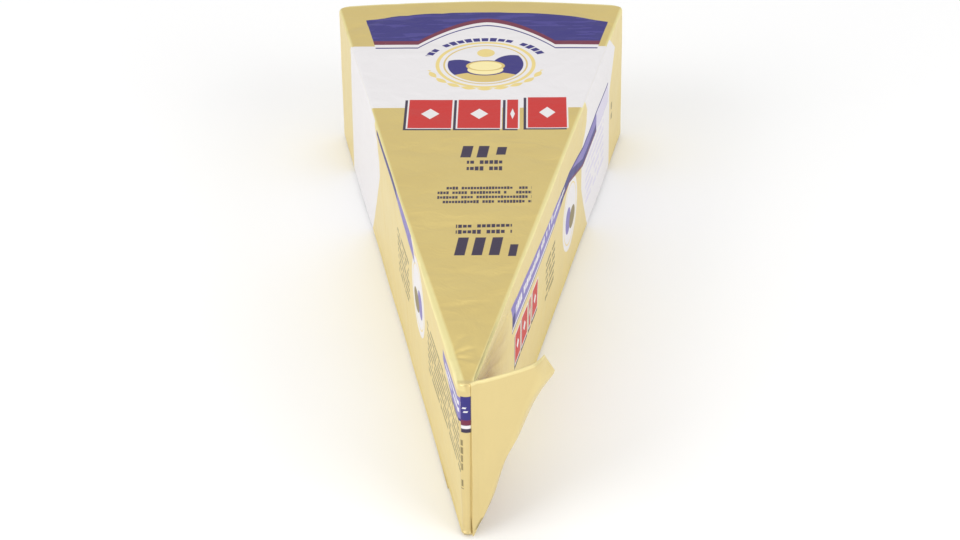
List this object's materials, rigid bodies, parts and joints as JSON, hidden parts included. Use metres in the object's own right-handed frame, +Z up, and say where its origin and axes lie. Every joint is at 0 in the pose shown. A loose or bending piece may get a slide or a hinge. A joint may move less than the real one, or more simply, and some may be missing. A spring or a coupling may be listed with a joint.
{
  "type": "wrapped cheese wedge",
  "caption": "Narrow wedge of soft-ripened cheese in a folded, printed gold foil-paper wrapper, lying flat, with a fin of folded sheet at its point.",
  "frame": {"origin": "on the base, in the middle of the wrapper's length and width", "axes": "+Y from the point of the wedge to its curved rear, +X to the side that the fin at the point turns to, +Z up"},
  "size_m": [0.0668, 0.1774, 0.0333],
  "materials": {
    "cheese": "white bloomy rind on the top, base and curved rear, cream paste on the two cut sides, matt and slightly moist",
    "printed_foil_paper": "satin gold foil-backed paper with a printed white, blue and red pattern, lightly creased",
    "plain_foil_paper": "satin gold foil-backed paper, pinched flat, unprinted"
  },
  "bodies": {
    "root": {"cheese_wedge": "cheese", "wrapper": "printed_foil_paper", "nose_flap": "plain_foil_paper"}
  },
  "joints": []
}
